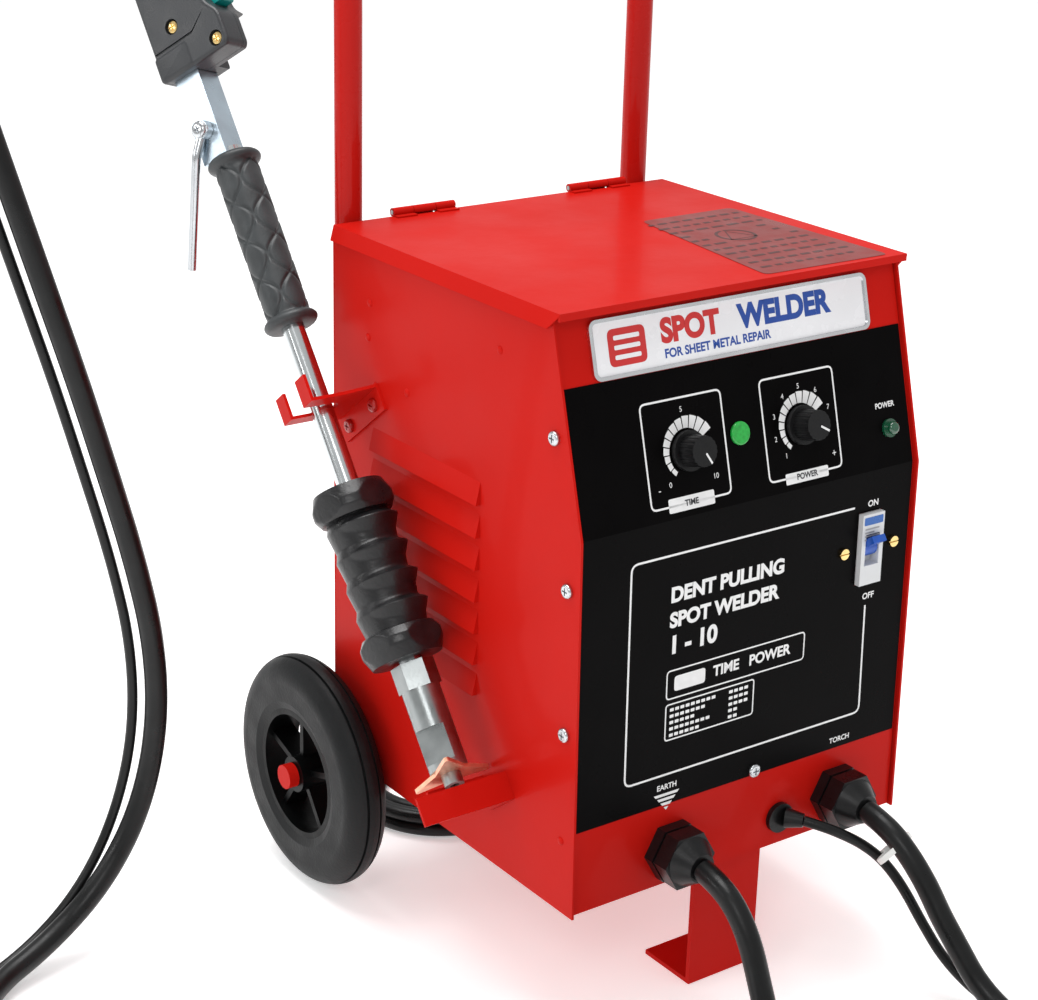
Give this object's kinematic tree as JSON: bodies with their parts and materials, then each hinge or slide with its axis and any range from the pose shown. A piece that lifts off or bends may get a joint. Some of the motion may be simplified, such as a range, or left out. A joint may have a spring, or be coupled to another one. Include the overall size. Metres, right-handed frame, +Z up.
{
  "type": "spot welder on a two-wheel trolley",
  "caption": "Red dent-pulling spot welder in a wheeled steel case with a tall push handle, hinged lid, side-parked welding gun with sliding hammer, and floor-lying cables.",
  "frame": {"origin": "middle of the front foot's sole, on the floor", "axes": "+X right as seen by someone facing the control panel, +Y towards the wheels and push handle, +Z up"},
  "size_m": [0.6011, 0.7739, 0.8885],
  "materials": {
    "red": "glossy red paint",
    "red_gloss": "glossy red paint on steel tube",
    "zinc": "bright zinc plate",
    "steel": "turned steel",
    "chromed": "polished chrome",
    "brass_screw": "yellow passivated",
    "copper": "bare copper",
    "core": "varnished laminations",
    "winding": "enamelled wire under varnish",
    "bus": "copper strip",
    "board": "circuit board with components",
    "shelf": "galvanised sheet",
    "overlay": "printed black film",
    "plate": "white face with a silver rim",
    "black_knob": "moulded black",
    "green": "green lens",
    "lamp": "dark green lens",
    "breaker": "light grey moulding",
    "blue": "blue lever",
    "nylon": "black nylon",
    "rim": "black moulded rim",
    "tyre": "solid rubber",
    "grip": "black rubber",
    "shell": "black glass-filled nylon",
    "teal": "teal lever",
    "cable": "black cable sheath",
    "clamp": "insulated clamp with steel jaws",
    "plug": "moulded rubber plug"
  },
  "bodies": {
    "trolley": {"axle": "steel", "axle_caps": "chromed", "back_panel": "red", "base_tray": "red", "board_shelf": "shelf", "body_hinge_leaves": "red", "breaker_body": "breaker", "breaker_screws": "brass_screw", "cable_boots": "nylon", "cable_glands": "nylon", "case_screws": "zinc", "control_board": "board", "control_cable": "cable", "control_pots": "zinc", "core_brackets": "shelf", "earth_clamp": "clamp", "foot_bracket": "red", "front_panel": "red", "green_lens": "green", "ground_cable": "cable", "ground_coil": "cable", "ground_tail": "cable", "gun_fork": "red", "gun_rest": "red", "handle_bolts": "zinc", "hinge_pins": "steel", "left_side_panel": "red", "mains_cable": "cable", "mains_coil": "cable", "mains_plug": "plug", "name_plate": "plate", "panel_overlay": "overlay", "pilot_lamp": "lamp", "primary_coil": "winding", "push_handle": "red_gloss", "right_side_panel": "red", "secondary_coil": "bus", "torch_cable": "cable", "transformer_core": "core"},
    "left_wheel": {"left_rim": "rim", "left_tyre": "tyre"},
    "right_wheel": {"right_rim": "rim", "right_tyre": "tyre"},
    "lid": {"lid": "red"},
    "left_knob": {"left_knob": "black_knob"},
    "right_knob": {"right_knob": "black_knob"},
    "breaker_toggle": {"breaker_toggle": "blue"},
    "gun": {"gun_shell_left": "shell", "gun_shell_right": "shell", "gun_screws": "brass_screw", "trigger_switch": "nylon", "gun_bar": "zinc", "rubber_grip": "grip", "slide_shaft": "chromed", "nose_tube": "steel", "star_tip": "copper", "tip_screw": "steel"},
    "hammer": {"slide_hammer": "grip"},
    "trigger": {"trigger": "teal"},
    "hook": {"swing_hook": "zinc"}
  },
  "joints": [
    {"name": "left_wheel_spin", "type": "hinge", "parent": "trolley", "child": "left_wheel", "pos_m": [-0.148, 0.221, 0.077], "axis": [1, 0, 0], "continuous": true},
    {"name": "right_wheel_spin", "type": "hinge", "parent": "trolley", "child": "right_wheel", "pos_m": [0.148, 0.221, 0.077], "axis": [1, 0, 0], "continuous": true},
    {"name": "lid_hinge", "type": "hinge", "parent": "trolley", "child": "lid", "pos_m": [0, 0.2262, 0.4384], "axis": [-1, 0, 0], "range_deg": [0, 85]},
    {"name": "left_knob_turn", "type": "hinge", "parent": "trolley", "child": "left_knob", "pos_m": [-0.046, -0.01598, 0.349], "axis": [0, -0.9649, 0.2625], "range_deg": [0, 290]},
    {"name": "right_knob_turn", "type": "hinge", "parent": "trolley", "child": "right_knob", "pos_m": [0.039, -0.01598, 0.349], "axis": [0, -0.9649, 0.2625], "range_deg": [-20, 270]},
    {"name": "breaker_throw", "type": "hinge", "parent": "trolley", "child": "breaker_toggle", "pos_m": [0.0912, -0.02334, 0.26555], "axis": [1, 0, 0], "range_deg": [0, 70]},
    {"name": "gun_take_off", "type": "slide", "parent": "trolley", "child": "gun", "axis": [-1, 0, 0], "range_m": [0, 0.12], "deforming": ["torch_cable", "control_cable"]},
    {"name": "hammer_slide", "type": "slide", "parent": "gun", "child": "hammer", "axis": [0, 0.6157, 0.788], "range_m": [0, 0.035]},
    {"name": "trigger_press", "type": "slide", "parent": "gun", "child": "trigger", "axis": [-0.4384, 0.7083, -0.5534], "range_m": [0, 0.004], "stiffness_N_per_m": 800, "springref_m": -0.004},
    {"name": "hook_swing", "type": "hinge", "parent": "gun", "child": "hook", "pos_m": [-0.16804, 0.31334, 0.48177], "axis": [-0.8988, -0.3454, 0.2699], "range_deg": [-100, 0]}
  ]
}
